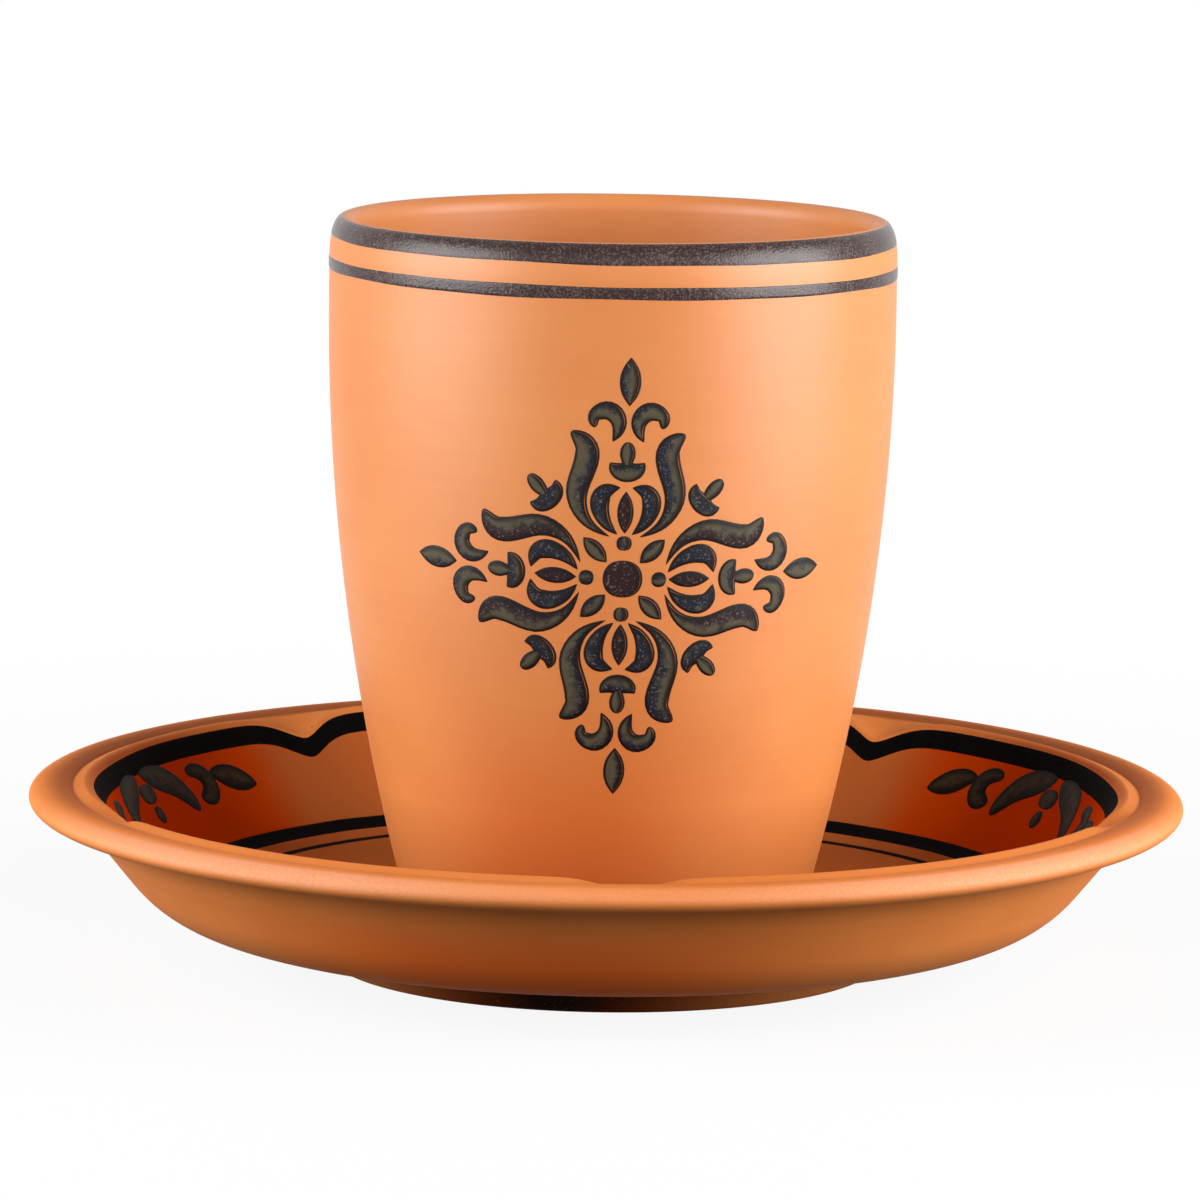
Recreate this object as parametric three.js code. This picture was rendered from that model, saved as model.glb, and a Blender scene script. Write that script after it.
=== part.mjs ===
// Terracotta tea cup without a handle, standing on its five-lobed saucer.
// Millimetres, +Z up. The saucer's foot stands on z = 0 and one cusp of the saucer points to -Y.
import * as THREE from "three";

// Cup: heights are above its own foot, radii are of the outside
const CUP_HEIGHT = 91.7;
const CUP_BELLY_RADIUS = 37.8;
const CUP_BELLY_DROP = 12.5; // the widest place lies this far below the crown of the lip
const CUP_FOOT_RADIUS = 27.1;
const CUP_FOOT_ROUND = 1.6;
const CUP_FOOT_WIDTH = 4.5; // flat ring that the cup stands on
const CUP_FOOT_HOLLOW = 1.2; // how far the middle of the underside is turned away
const CUP_WALL = 3.4;
const CUP_BASE = 5.5;
const CUP_INNER_CORNER = 9;
const CUP_LIP_OUTER_WIDTH = 1.9;
const CUP_LIP_OUTER_HEIGHT = 5;
const CUP_LIP_INNER_HEIGHT = 2.4;

// Saucer rim: heights are above the table, insets are measured in from the outer edge
const SAUCER_RADIUS = 77.5;
const SAUCER_LIP_TOP = 23.9;
const SAUCER_LIP_WIDTH = 5.6;
const SAUCER_LIP_THICKNESS = 3.4;
const CHANNEL_INSET = 5.3;
const CHANNEL_DEPTH = 0.7;
const BRINK_INSET = 7.9; // where the well begins, at the middle of a lobe
const BRINK_RISE = 0.4; // how far the brink stands above the rolled lip
const BRINK_ROUND = 1.2;

// Saucer well and lobes
const LOBES = 5;
const CUSP_DEPTH = 2.4; // how far a cusp reaches in from the brink of the lobes
const CUSP_DROP = 2.1; // how far the brink sinks at a cusp
const CUSP_SPREAD = THREE.MathUtils.degToRad(4.5);
const CUSP_SHARPNESS = 1.5;
const WELL_FLOOR = 8.5;
const WELL_INSET = 19; // where the wall would meet the floor if they met sharply
const WELL_CORNER = 8;

// Saucer underside
const SAUCER_WALL = 2.3; // at the corner of the well, growing towards the lip
const SAUCER_BASE = 4.6;
const SAUCER_BELLY_ROUND = 7;
const FLARE_INSET = 6.2; // where the outside turns out under the rolled lip
const FLARE_ROUND = 5;
const FOOT_RADIUS = 37.5;
const FOOT_WIDTH = 4;
const FOOT_ROUND = 0.7;
const FOOT_FILLET = 1.2;

// Facets
const CUP_SEGMENTS = 64;
const SAUCER_SEGMENTS = 100;
const CUSP_BUNCHING = 0.55; // share by which the saucer's facets narrow at a cusp and widen in a lobe

const TERRACOTTA = { roughness: 0.55, metalness: 0 };
const QUARTER_TURN = Math.PI / 2;

// Curves of an outline, as radius and height
const at = (radius, height) => new THREE.Vector2(radius, height);
const line = (from, to) => new THREE.LineCurve(from, to);
const bend = (from, corner, to) => new THREE.QuadraticBezierCurve(from, corner, to);
const arc = (middle, width, height, start, end) =>
  new THREE.EllipseCurve(middle.x, middle.y, width, height, start, end);

// A wave from one level to another that starts and ends level
function swell(from, to) {
  const halfway = (from.x + to.x) / 2;
  return new THREE.CubicBezierCurve(from, at(halfway, from.y), at(halfway, to.y), to);
}

// The point at a distance from one point towards another
function towards(from, to, distance) {
  const step = to.clone().sub(from).setLength(distance);
  return from.clone().add(step);
}

// One outline from curves that follow each other, each given with its number of steps
function outline(stretches) {
  const points = [stretches[0][0].getPoint(0)];
  for (const [curve, steps] of stretches) {
    points.push(...curve.getPoints(steps).slice(1));
  }
  return points;
}

// The cup's outline runs from the middle of the underside, up the outside, over the lip and down the
// inside. Its side is a parabola that stands upright at the belly, and the inside keeps one wall from it.
function cupOutline() {
  const bellyHeight = CUP_HEIGHT - CUP_BELLY_DROP;
  const flare = CUP_BELLY_RADIUS - CUP_FOOT_RADIUS;
  const outside = (height) => CUP_BELLY_RADIUS - flare * (1 - height / bellyHeight) ** 2;
  const inside = (height) => outside(height) - CUP_WALL;

  const ringOuter = at(CUP_FOOT_RADIUS - CUP_FOOT_ROUND, 0);
  const ringInner = at(ringOuter.x - CUP_FOOT_WIDTH, 0);
  const hollow = at(ringInner.x - CUP_FOOT_HOLLOW, CUP_FOOT_HOLLOW);
  const sideFoot = at(outside(CUP_FOOT_ROUND), CUP_FOOT_ROUND);
  const belly = at(CUP_BELLY_RADIUS, bellyHeight);
  const lipFoot = at(CUP_BELLY_RADIUS, CUP_HEIGHT - CUP_LIP_OUTER_HEIGHT);
  const crownRadius = CUP_BELLY_RADIUS - CUP_LIP_OUTER_WIDTH;
  const lipMiddle = at(crownRadius, lipFoot.y);
  const innerLipMiddle = at(crownRadius, CUP_HEIGHT - CUP_LIP_INNER_HEIGHT);
  const innerLipFoot = at(CUP_BELLY_RADIUS - CUP_WALL, innerLipMiddle.y);
  const innerBelly = at(innerLipFoot.x, bellyHeight);
  const cornerTop = CUP_BASE + CUP_INNER_CORNER;
  const innerFoot = at(inside(cornerTop), cornerTop);
  const innerCorner = at(inside(CUP_BASE), CUP_BASE);
  const innerFloor = at(innerCorner.x - CUP_INNER_CORNER, CUP_BASE);

  return outline([
    [line(at(0, CUP_FOOT_HOLLOW), hollow), 1],
    [line(hollow, ringInner), 1],
    [line(ringInner, ringOuter), 1],
    [bend(ringOuter, at(CUP_FOOT_RADIUS, 0), sideFoot), 3],
    [bend(sideFoot, at(belly.x, (sideFoot.y + belly.y) / 2), belly), 9],
    [line(belly, lipFoot), 1],
    [arc(lipMiddle, CUP_LIP_OUTER_WIDTH, CUP_LIP_OUTER_HEIGHT, 0, QUARTER_TURN), 5],
    [arc(innerLipMiddle, CUP_WALL - CUP_LIP_OUTER_WIDTH, CUP_LIP_INNER_HEIGHT, QUARTER_TURN, Math.PI), 4],
    [line(innerLipFoot, innerBelly), 1],
    [bend(innerBelly, at(innerBelly.x, (innerBelly.y + innerFoot.y) / 2), innerFoot), 7],
    [bend(innerFoot, innerCorner, innerFloor), 5],
    [line(innerFloor, at(0, CUP_BASE)), 1],
  ]);
}

// The saucer's outline runs from the middle of the underside, down and round the foot ring, up the
// outside, round the rolled lip, over the channel and the brink, and down the well to its middle.
// Only the brink and the wall under it move with cusp, which is 0 in a lobe and 1 at a cusp.
function saucerOutline(cusp) {
  const underside = WELL_FLOOR - SAUCER_BASE;
  const lipMiddle = at(SAUCER_RADIUS - SAUCER_LIP_WIDTH / 2, SAUCER_LIP_TOP - SAUCER_LIP_THICKNESS / 2);
  const lipUnder = at(lipMiddle.x, SAUCER_LIP_TOP - SAUCER_LIP_THICKNESS);
  const lipTop = at(lipMiddle.x, SAUCER_LIP_TOP);
  const channel = at(SAUCER_RADIUS - CHANNEL_INSET, SAUCER_LIP_TOP - CHANNEL_DEPTH);
  const lobeBrink = at(SAUCER_RADIUS - BRINK_INSET, SAUCER_LIP_TOP + BRINK_RISE);
  const brink = at(lobeBrink.x - cusp * CUSP_DEPTH, lobeBrink.y - cusp * CUSP_DROP);
  const brinkTop = at(brink.x + BRINK_ROUND, brink.y);

  const wellCorner = at(SAUCER_RADIUS - WELL_INSET, WELL_FLOOR);
  const wallTop = towards(brink, wellCorner, BRINK_ROUND);
  const wallFoot = towards(wellCorner, brink, WELL_CORNER);
  const floorEdge = at(wellCorner.x - WELL_CORNER, WELL_FLOOR);

  const wallAngle = lobeBrink.clone().sub(wellCorner).angle();
  const bellyCorner = at(wellCorner.x + SAUCER_WALL * Math.tan(wallAngle / 2), WELL_FLOOR - SAUCER_WALL);
  const flareCorner = at(SAUCER_RADIUS - FLARE_INSET, lipUnder.y);
  const flareFoot = towards(flareCorner, bellyCorner, FLARE_ROUND);
  const footTop = at(FOOT_RADIUS + FOOT_FILLET, underside);
  const bellyStart = towards(bellyCorner, footTop, SAUCER_BELLY_ROUND);
  const bellyEnd = towards(bellyCorner, flareCorner, SAUCER_BELLY_ROUND);

  const footInner = FOOT_RADIUS - FOOT_WIDTH;
  const ringInner = at(footInner + FOOT_ROUND, 0);
  const ringOuter = at(FOOT_RADIUS - FOOT_ROUND, 0);
  const footInnerEdge = at(footInner, FOOT_ROUND);
  const footOuterEdge = at(FOOT_RADIUS, FOOT_ROUND);
  const footFillet = at(FOOT_RADIUS, underside - FOOT_FILLET);

  return outline([
    [line(at(0, underside), at(footInner, underside)), 1],
    [line(at(footInner, underside), footInnerEdge), 1],
    [bend(footInnerEdge, at(footInner, 0), ringInner), 2],
    [line(ringInner, ringOuter), 1],
    [bend(ringOuter, at(FOOT_RADIUS, 0), footOuterEdge), 2],
    [line(footOuterEdge, footFillet), 1],
    [bend(footFillet, at(FOOT_RADIUS, underside), footTop), 2],
    [line(footTop, bellyStart), 1],
    [bend(bellyStart, bellyCorner, bellyEnd), 4],
    [line(bellyEnd, flareFoot), 1],
    [bend(flareFoot, flareCorner, lipUnder), 3],
    [arc(lipMiddle, SAUCER_LIP_WIDTH / 2, SAUCER_LIP_THICKNESS / 2, -QUARTER_TURN, QUARTER_TURN), 6],
    [swell(lipTop, channel), 3],
    [swell(channel, brinkTop), 3],
    [bend(brinkTop, brink, wallTop), 2],
    [line(wallTop, wallFoot), 1],
    [bend(wallFoot, wellCorner, floorEdge), 4],
    [line(floorEdge, at(0, WELL_FLOOR)), 1],
  ]);
}

// How much of a cusp there is at an angle from the cusp at -Y: 1 on a cusp, falling away beside it
function cuspAt(angle) {
  const spacing = (2 * Math.PI) / LOBES;
  const distance = Math.abs(angle - spacing * Math.round(angle / spacing));
  return Math.exp(-((distance / CUSP_SPREAD) ** CUSP_SHARPNESS));
}

// Turns an outline about +Z
function turned(points, segments) {
  return new THREE.LatheGeometry(points, segments).rotateX(QUARTER_TURN);
}

// Turns an outline that changes with the cusps, with facets bunched where the cusps are
function lobed(outlineFor, segments) {
  const first = outlineFor(1);
  const geometry = new THREE.LatheGeometry(first, segments);
  const position = geometry.attributes.position;
  for (let i = 0; i <= segments; i += 1) {
    const even = (2 * Math.PI * i) / segments;
    const angle = even - (CUSP_BUNCHING * Math.sin(LOBES * even)) / LOBES;
    outlineFor(cuspAt(angle)).forEach((point, j) => {
      const vertex = i * first.length + j;
      position.setXYZ(vertex, point.x * Math.sin(angle), point.y, point.x * Math.cos(angle));
    });
  }
  geometry.rotateX(QUARTER_TURN);
  geometry.computeVertexNormals();
  return geometry;
}

function piece(name, geometry, color) {
  const mesh = new THREE.Mesh(geometry, new THREE.MeshStandardMaterial({ color, ...TERRACOTTA }));
  mesh.name = name;
  return mesh;
}

const saucer = piece("saucer", lobed(saucerOutline, SAUCER_SEGMENTS), 0xcf7b49);
const cup = piece("cup", turned(cupOutline(), CUP_SEGMENTS), 0xe08a56);
cup.position.z = WELL_FLOOR; // the foot ring stands flat on the floor of the well

const teaCup = new THREE.Group();
teaCup.name = "tea_cup";
teaCup.add(saucer, cup);

export default teaCup;
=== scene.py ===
"""A painted terracotta tea cup on its five-lobed saucer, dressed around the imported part.

Sizes and colours are properties, each piece or group of like pieces has its own operator, and
main() calls them in order. Bearings are measured about the upright axis from -Y towards +X.
"""

from dataclasses import dataclass
from math import cos, pi, radians, sin, sqrt

import bpy
import numpy as np
from bpy.props import FloatProperty, FloatVectorProperty, IntProperty, PointerProperty
from mathutils import Matrix, Vector


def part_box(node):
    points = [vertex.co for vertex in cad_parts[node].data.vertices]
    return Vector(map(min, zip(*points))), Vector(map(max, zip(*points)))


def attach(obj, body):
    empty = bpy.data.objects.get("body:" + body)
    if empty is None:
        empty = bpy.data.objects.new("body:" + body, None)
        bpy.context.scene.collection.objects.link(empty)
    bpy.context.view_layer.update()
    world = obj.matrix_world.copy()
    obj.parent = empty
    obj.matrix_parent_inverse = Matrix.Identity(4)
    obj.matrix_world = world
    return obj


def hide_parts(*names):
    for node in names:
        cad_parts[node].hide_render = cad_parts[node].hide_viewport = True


bl_info = {
    "name": "Terracotta tea cup",
    "version": (1, 0, 0),
    "blender": (4, 5, 0),
    "location": "View3D > Sidebar > Tea cup",
    "description": "Builds a painted terracotta tea cup on its five-lobed saucer",
    "category": "Object",
}

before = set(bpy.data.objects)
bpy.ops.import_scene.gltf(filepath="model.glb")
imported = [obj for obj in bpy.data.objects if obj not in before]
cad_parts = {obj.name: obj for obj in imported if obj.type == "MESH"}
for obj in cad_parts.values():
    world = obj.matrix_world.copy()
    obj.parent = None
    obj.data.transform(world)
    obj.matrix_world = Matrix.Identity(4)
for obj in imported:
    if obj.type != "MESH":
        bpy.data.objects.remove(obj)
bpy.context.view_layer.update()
CUP_LOW, CUP_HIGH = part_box("cup")
SAUCER_LOW, SAUCER_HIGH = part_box("saucer")

MM = 0.001
FULL_TURN = 2 * pi

# How far the rolled lip lies below the saucer's highest point, in millimetres
LIP_BELOW = 0.45

# Mesh fineness
CUP_AROUND = 224
SAUCER_AROUND = 360
CUSP_BUNCHING = 0.55
PAINT_AROUND = 300
PAINT_ACROSS = 13
WASH_ACROSS = 24
PETAL_STEPS = 30
PETAL_AROUND = 24


# Properties

def length(name, description, default):
    """A length, with its default in millimetres."""
    return FloatProperty(
        name=name, description=description, default=default * MM, min=0.0, precision=5, unit="LENGTH"
    )


def turn(name, description, default):
    """An angle, with its default in degrees."""
    return FloatProperty(name=name, description=description, default=radians(default), subtype="ANGLE")


def linear(value):
    """The linear value of one channel written as 0 to 255."""
    share = value / 255
    return share / 12.92 if share <= 0.04045 else ((share + 0.055) / 1.055) ** 2.4


def tint(name, description, red, green, blue):
    """A colour, with its default written as red, green and blue from 0 to 255."""
    return FloatVectorProperty(
        name=name, description=description, subtype="COLOR", size=3, min=0.0, max=1.0,
        default=(linear(red), linear(green), linear(blue)),
    )


class TeacupCupSizes(bpy.types.PropertyGroup):
    """Sizes of the cup; heights are above its own foot."""

    foot_level: length("Foot level", "Height of the cup's foot above the table", CUP_LOW.z / MM)
    height: length("Height", "From the foot to the crown of the lip", (CUP_HIGH.z - CUP_LOW.z) / MM)
    belly_radius: length("Belly radius", "Radius at the widest place", CUP_HIGH.x / MM)
    belly_drop: length("Belly drop", "From the crown of the lip down to the widest place", 12.5)
    foot_radius: length("Foot radius", "Radius that the side reaches at the foot", 27.1)
    foot_round: length("Foot round", "Rounding of the foot's outer edge", 1.6)
    foot_width: length("Foot width", "Width of the flat ring that the cup stands on", 4.5)
    foot_hollow: length("Foot hollow", "How far the middle of the underside is turned away", 1.2)
    wall: length("Wall", "Thickness of the wall", 3.4)
    base: length("Base", "Height of the floor inside", 5.5)
    inner_corner: length("Inner corner", "Rounding between the floor inside and the wall", 9)
    lip_width: length("Lip width", "How far the lip rounds in from the outside", 1.9)
    lip_height: length("Lip height", "How far down the outside the rounding of the lip starts", 5)
    inner_lip_height: length("Inner lip height", "How far down the inside the rounding reaches", 2.4)
    # Painted shade: a redder colour low on the cup's front, up to these heights
    red_shade_top: length("Flush top", "Height up to which the kiln flushed the clay", 35.5)
    red_shade_full: length("Flush full", "Height below which the flush is full", 13.5)


class TeacupSaucerSizes(bpy.types.PropertyGroup):
    """Sizes of the saucer; heights are above the table, insets are from its outer edge."""

    radius: length("Radius", "Outer radius of the rolled lip", -SAUCER_LOW.y / MM)
    lip_top: length("Lip top", "Height of the rolled lip", SAUCER_HIGH.z / MM - LIP_BELOW)
    lip_width: length("Lip width", "Width of the rolled lip", 5.6)
    lip_thickness: length("Lip thickness", "Thickness of the rolled lip", 3.3)
    channel_inset: length("Channel inset", "Where the channel behind the lip lies", 5.9)
    channel_depth: length("Channel depth", "Depth of the channel below the lip", 0.35)
    channel_flank: length("Channel flank", "Width over which the lip falls to the channel", 0.9)
    brink_inset: length("Brink inset", "Where the well begins at the middle of a lobe", 8.3)
    brink_rise: length("Brink rise", "How far the brink stands above the lip", 0.2)
    brink_round: length("Brink round", "Rounding of the brink", 0.9)
    lobes: IntProperty(name="Lobes", description="Number of lobes round the well", default=5, min=3)
    cusp_depth: length("Cusp depth", "How far a cusp reaches into the well", 2.6)
    cusp_drop: length("Cusp drop", "How far the brink sinks at a cusp", 2.5)
    cusp_spread: turn("Cusp spread", "Bearing at which a cusp has faded away by two thirds", 3.7)
    unevenness: turn("Unevenness", "How far the cusps at the sides stand nearer the front", 2.6)
    cusp_sharpness: FloatProperty(
        name="Cusp sharpness", description="1 for a pointed cusp, 2 for a round one", default=1.7
    )
    # Painted shade low on the outside: where it is most, how far round it reaches, and how high it darkens
    # the foot ring
    low_shade_bearing: turn("Smoke bearing", "Where the kiln smoked the clay most", -12)
    low_shade_spread: turn("Smoke spread", "Bearing at which the smoke has faded by a third", 30)
    foot_shade_top: length("Smoke top", "Height up to which the foot is smoked", 4.2)
    foot_shade_full: length("Smoke full", "Height below which the smoke is full", 2.2)
    # Painted shade: a redder colour low on the saucer's outside, up to these heights
    red_shade_top: length("Flush top", "Height up to which the kiln flushed the clay", 20)
    red_shade_full: length("Flush full", "Height below which the flush is full", 11)
    well_floor: length("Well floor", "Height of the floor of the well", CUP_LOW.z / MM)
    well_inset: length("Well inset", "Where wall and floor would meet if they met sharply", 19)
    well_corner: length("Well corner", "Rounding between wall and floor", 8)
    wall: length("Wall", "Thickness at the corner of the well", 2.3)
    base: length("Base", "Thickness of the floor", 4.6)
    belly_round: length("Belly round", "Rounding of the underside", 7)
    flare_inset: length("Flare inset", "Where the outside turns out under the lip", 6.2)
    flare_round: length("Flare round", "Rounding of that turn", 5)
    foot_radius: length("Foot radius", "Outer radius of the foot ring", 37.5)
    foot_width: length("Foot width", "Width of the foot ring", 4)
    foot_round: length("Foot round", "Rounding of the foot ring's edges", 0.7)
    foot_fillet: length("Foot fillet", "Rounding between foot ring and underside", 1.2)


class TeacupPaintSizes(bpy.types.PropertyGroup):
    """Sizes and places of the painted ornament."""

    slip: length("Slip thickness", "How far the painted bands stand proud", 0.08)
    wash: length("Wash thickness", "How far the thin washes stand proud", 0.03)
    relief: length("Petal relief", "How far the middle of a petal stands proud", 0.12)
    medallion_level: length("Medallion level", "Height of its middle above the table", 56.8)
    medallion_shift: length("Medallion shift", "How far its middle lies to the right", 0.12)
    medallion_tilt: turn("Medallion tilt", "How far it is turned clockwise", 1.4)
    rim_band_drop: length("Rim band drop", "From the crown down to the rim band's lower edge", 2.75)
    rim_band_start: turn("Rim band start", "Slope of the lip where the rim band ends", 87)
    thin_band_drop: length("Thin band drop", "From the crown down to the thin band's upper edge", 5.55)
    thin_band_width: length("Thin band width", "Width of the thin band", 1.6)
    band_lean: length("Band lean", "How far the bands sink towards the right", 0.28)
    border_drop: length("Border drop", "From the brink down the wall to the border", 0.8)
    border_width: length("Border width", "Width of the border round the well", 3.1)
    wash_end_radius: length("Wash end", "Radius at which the wash ends under the cup's edge", 26.4)
    broad_ring_radius: length("Broad ring radius", "Radius of the ring at the corner of the well", 56.6)
    broad_ring_width: length("Broad ring width", "Width of that ring", 3.2)
    thin_ring_radius: length("Thin ring radius", "Radius of the ring on the floor of the well", 51.6)
    thin_ring_width: length("Thin ring width", "Width of that ring", 1.5)
    tulip_radius: length("Tulip radius", "Radius at which a tulip's width is laid out", 66)


class TeacupColours(bpy.types.PropertyGroup):
    """Colours of clay, slip and stage."""

    clay: tint("Clay", "Cup clay", 211, 131, 69)
    clay_deep: tint("Deep clay", "Cup clay where it fired darker", 204, 121, 60)
    saucer: tint("Saucer clay", "Saucer clay", 226, 136, 72)
    saucer_deep: tint("Deep saucer clay", "Saucer clay where it fired darker", 216, 124, 60)
    # Painted shade: the wash is darker than the saucer's clay, for the shade in the well
    wash: tint("Wash", "Thin wash over the clay of the well", 180, 96, 45)
    # Partly an iron red wash and partly painted shade: the deeper red of the lobes' shaded walls
    iron_red_and_shade: tint("Blush", "Iron red wash on the wall of each lobe", 198, 70, 1)
    # Painted highlight: a pale colour on the outer side of the saucer's lip, where the soft boxes shine on
    # it
    painted_highlight: tint("Rubbed clay", "Clay on the outer side of the saucer's lip, rubbed pale", 229, 158, 120)
    # Painted shade: a darker colour on the inner side of the saucer's lip and past the channel
    painted_lip_shade: tint("Dulled clay", "Clay on the inner side of the saucer's lip, dulled by use", 156, 82, 39)
    # Painted shade: a near black colour on the foot ring, where the belly shades it
    painted_foot_shade: tint("Smoked clay", "Clay of the foot ring where the kiln smoked it", 12, 4, 2)
    # Painted shade: redder colours low on the saucer and on the cup, where they lie in shade
    saucer_red_shaded: tint("Reddened clay", "Clay above the smoked foot ring", 222, 104, 40)
    red_shaded: tint("Flushed clay", "Cup clay that the kiln flushed red near the foot", 205, 107, 45)
    iron: tint("Iron specks", "Specks in the clay", 92, 48, 26)
    band: tint("Band", "Slip of the bands on the cup", 40, 20, 18)
    band_glint: tint("Band glint", "Coarse grains in that slip", 104, 82, 76)
    line: tint("Line", "Outline of the petals", 16, 10, 9)
    fringe: tint("Fringe", "Edge of the outline, where the slip thins out", 72, 32, 14)
    navy: tint("Navy", "Blue side of the petals", 26, 29, 40)
    olive: tint("Olive", "Grey green side of the petals", 80, 74, 57)
    maroon: tint("Maroon", "Red brown cores", 38, 20, 22)
    speck: tint("Speck", "Pale specks in the petals", 146, 132, 124)
    border: tint("Border", "Slip of the border and rings of the saucer", 8, 6, 7)
    border_worn: tint("Worn border", "That slip where it is thin", 28, 22, 21)
    tulip: tint("Tulip", "Slip of the tulips on the saucer", 32, 22, 12)
    tulip_pale: tint("Pale tulip", "That slip where it is thick", 60, 50, 32)
    floor: tint("Floor", "Floor under the saucer", 244, 244, 244)


# Outlines, as arrays of radius and height with one column for each bearing

def at(radius, height):
    """A point of an outline, at one radius and height for each bearing."""
    return np.stack(np.broadcast_arrays(np.atleast_1d(radius), np.atleast_1d(height)), axis=-1)


def shares(steps):
    """Equal shares of a stretch, without its start."""
    return (np.arange(1, steps + 1) / steps)[:, None, None]


def line(start, end, steps):
    """A straight stretch: start plus a share of the way to the end."""
    return start + (end - start) * shares(steps)


def bend(start, corner, end, steps):
    """A parabola that leaves the start towards a corner and comes from it to the end:
    the three points weighed by (1-t)^2, 2t(1-t) and t^2."""
    t = shares(steps)
    return (1 - t) ** 2 * start + 2 * t * (1 - t) * corner + t**2 * end


def arc(middle, width, height, first, last, steps):
    """Part of an ellipse about a middle: width times the cosine and height times the sine."""
    t = first + (last - first) * shares(steps)
    return middle + np.concatenate([width * np.cos(t), height * np.sin(t)], axis=-1)


def toward(start, end, distance):
    """The point at a distance from the start on the way to the end."""
    way = end - start
    return start + way * (distance / np.linalg.norm(way, axis=-1, keepdims=True))


def outline(*stretches):
    """One outline from stretches that follow each other, as wide as the widest of them."""
    bearings = max(part.shape[1] for part in stretches)
    return np.concatenate([np.broadcast_to(s, (len(s), bearings, 2)) for s in stretches])


def cup_side(cup, height):
    """Outside radius below the lip: a parabola that widens from the foot and stands upright at the
    belly, and goes straight up from there."""
    belly = cup.height - cup.belly_drop
    flare = cup.belly_radius - cup.foot_radius
    return cup.belly_radius - flare * np.clip(1 - height / belly, 0, None) ** 2


def cup_radius(cup, height):
    """Outside radius with the lip, which rounds in as an ellipse: its width times one minus the
    root of one minus the squared share of its height."""
    share = np.clip((height - cup.height + cup.lip_height) / cup.lip_height, 0, 1)
    return cup_side(cup, height) - cup.lip_width * (1 - np.sqrt(1 - share**2))


def cup_outline(cup):
    """From the middle of the underside over the foot ring, up the outside, over the lip and down
    the inside, which keeps one wall from the outside, to the middle of the floor."""
    ring_outer = at(cup.foot_radius - cup.foot_round, 0)
    ring_inner = ring_outer - at(cup.foot_width, 0)
    hollow = ring_inner + at(-cup.foot_hollow, cup.foot_hollow)
    side_foot = at(cup_side(cup, cup.foot_round), cup.foot_round)
    lip_foot = cup.height - cup.lip_height
    heights = cup.foot_round + (lip_foot - cup.foot_round) * shares(64)[:, 0, 0]
    side = at(cup_side(cup, heights), heights)[:, None]
    crown = cup.belly_radius - cup.lip_width
    inner_lip = at(crown, cup.height - cup.inner_lip_height)

    corner_top = cup.base + cup.inner_corner
    heights = inner_lip[0, 1] + (corner_top - inner_lip[0, 1]) * shares(48)[:, 0, 0]
    inside = at(cup_side(cup, heights) - cup.wall, heights)[:, None]
    inner_corner = at(cup_side(cup, cup.base) - cup.wall, cup.base)
    floor_edge = inner_corner - at(cup.inner_corner, 0)
    return outline(
        line(at(0, cup.foot_hollow), hollow, 6),
        line(hollow, ring_inner, 3),
        line(ring_inner, ring_outer, 4),
        bend(ring_outer, at(cup.foot_radius, 0), side_foot, 8),
        side,
        arc(at(crown, lip_foot), cup.lip_width, cup.lip_height, 0, pi / 2, 16),
        arc(inner_lip, cup.wall - cup.lip_width, cup.inner_lip_height, pi / 2, pi, 12),
        inside,
        bend(inside[-1], inner_corner, floor_edge, 14),
        line(floor_edge, at(MM, cup.base), 8),
    )


def lobe_bearing(saucer, bearing):
    """The bearing that a point would have if the lobes were even: it runs ahead by a sine of itself,
    which makes the near lobes the narrower."""
    return bearing + saucer.unevenness * np.sin(bearing)


def cusp_at(saucer, bearing):
    """How much of a cusp there is at a bearing: one on a cusp and falling away beside it, as e to
    the power of minus the distance over the spread, to the power of the sharpness."""
    spacing = FULL_TURN / saucer.lobes
    even = lobe_bearing(saucer, bearing)
    distance = np.abs(even - spacing * np.round(even / spacing))
    return np.exp(-((distance / saucer.cusp_spread) ** saucer.cusp_sharpness))


def brink_at(saucer, cusp):
    """The corner that the brink rounds: it moves in and down with the cusps."""
    inset = saucer.brink_inset + cusp * saucer.cusp_depth
    return at(saucer.radius - inset, saucer.lip_top + saucer.brink_rise - cusp * saucer.cusp_drop)


def well_corner(saucer):
    """Where the wall and the floor of the well would meet if they met sharply."""
    return at(saucer.radius - saucer.well_inset, saucer.well_floor)


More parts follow.
